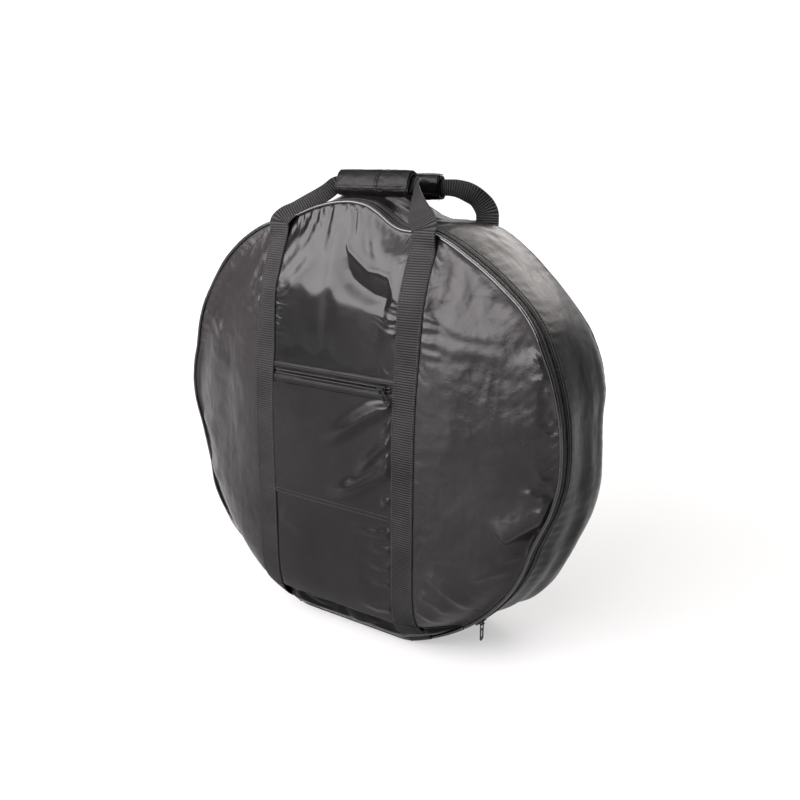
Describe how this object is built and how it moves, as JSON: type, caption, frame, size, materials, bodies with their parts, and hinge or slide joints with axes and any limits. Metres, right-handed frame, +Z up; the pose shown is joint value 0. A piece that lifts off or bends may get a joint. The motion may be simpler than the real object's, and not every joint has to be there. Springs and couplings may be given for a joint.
{
  "type": "bike wheel bag",
  "caption": "Round zipped carrying bag for a bicycle wheel, with webbing straps, wrapped carrying handles and a zipped front pocket.",
  "frame": {"origin": "bottom centre of the bag's box, on the surface it stands on", "axes": "+X to the right seen from the front, +Y from the front panel to the back panel, +Z up"},
  "size_m": [0.7118, 0.2547, 0.721],
  "materials": {
    "panel_cloth": "coated nylon cloth with a satin sheen, dark brownish grey",
    "pocket_cloth": "coated nylon cloth, black with soft highlights",
    "lining": "thin lining cloth",
    "grip_cloth": "coated nylon over foam",
    "webbing": "ribbed woven webbing, matt",
    "zip_tape": "woven zipper tape",
    "piping": "black piping cord with a thin highlight",
    "zip_coil": "nylon zipper coil",
    "zip_metal": "black lacquered zinc, worn bright at its edges"
  },
  "bodies": {
    "bag_body": {"side_band": "panel_cloth", "bottom_hinge_strip": "pocket_cloth", "back_panel": "panel_cloth", "back_piping": "piping", "front_panel_lower": "pocket_cloth", "front_piping_lower": "piping", "main_zip_tape_body": "zip_tape", "main_zip_coil_body": "zip_coil", "main_zip_stop_left": "zip_metal", "main_zip_stop_right": "zip_metal", "under_strap_left": "webbing", "under_strap_right": "webbing", "back_strap_left": "webbing", "back_strap_right": "webbing"},
    "lid": {"front_panel_left": "panel_cloth", "front_panel_right": "panel_cloth", "front_panel_top": "panel_cloth", "pocket_front_panel": "pocket_cloth", "pocket_pouch": "lining", "front_piping": "piping", "main_zip_tape_lid": "zip_tape", "main_zip_coil_lid": "zip_coil", "front_strap_left": "webbing", "front_strap_right": "webbing", "pocket_zip_tape_upper": "zip_tape", "pocket_zip_tape_lower": "zip_tape", "pocket_zip_coil_upper": "zip_coil", "pocket_zip_coil_lower": "zip_coil"},
    "main_slider": {"main_zip_slider": "zip_metal"},
    "main_pull": {"main_zip_pull": "zip_metal"},
    "pocket_slider": {"pocket_zip_slider": "zip_metal"},
    "pocket_pull": {"pocket_zip_pull": "zip_metal"},
    "front_handle": {"front_handle_webbing": "webbing", "front_grip_wrap": "grip_cloth", "front_grip_flap": "grip_cloth"},
    "back_handle": {"back_handle_webbing": "webbing", "back_grip_wrap": "grip_cloth", "back_grip_flap": "grip_cloth"}
  },
  "joints": [
    {"name": "lid_hinge", "type": "hinge", "parent": "bag_body", "child": "lid", "pos_m": [0, -0.11918, 0.056], "axis": [1, 0, 0], "range_deg": [0, 97]},
    {"name": "main_zip_travel", "type": "hinge", "parent": "bag_body", "child": "main_slider", "pos_m": [0, -0.049, 0.334], "axis": [0, -1, 0], "range_deg": [0, 280]},
    {"name": "main_pull_swing", "type": "hinge", "parent": "main_slider", "child": "main_pull", "pos_m": [0.22903, -0.049, 0.06106], "axis": [0, -1, 0], "range_deg": [-50, 130]},
    {"name": "pocket_zip_travel", "type": "slide", "parent": "lid", "child": "pocket_slider", "axis": [-1, 0, 0], "range_m": [0, 0.188]},
    {"name": "pocket_pull_swing", "type": "hinge", "parent": "pocket_slider", "child": "pocket_pull", "pos_m": [0.094, -0.12526, 0.42151], "axis": [0, -0.083, -0.9965], "range_deg": [0, 178]},
    {"name": "front_handle_fold", "type": "hinge", "parent": "lid", "child": "front_handle", "pos_m": [0, -0.0763, 0.6456], "axis": [1, 0, 0], "range_deg": [0, 150]},
    {"name": "back_handle_fold", "type": "hinge", "parent": "bag_body", "child": "back_handle", "pos_m": [0, 0.0998, 0.6456], "axis": [-1, 0, 0], "range_deg": [0, 155]}
  ]
}
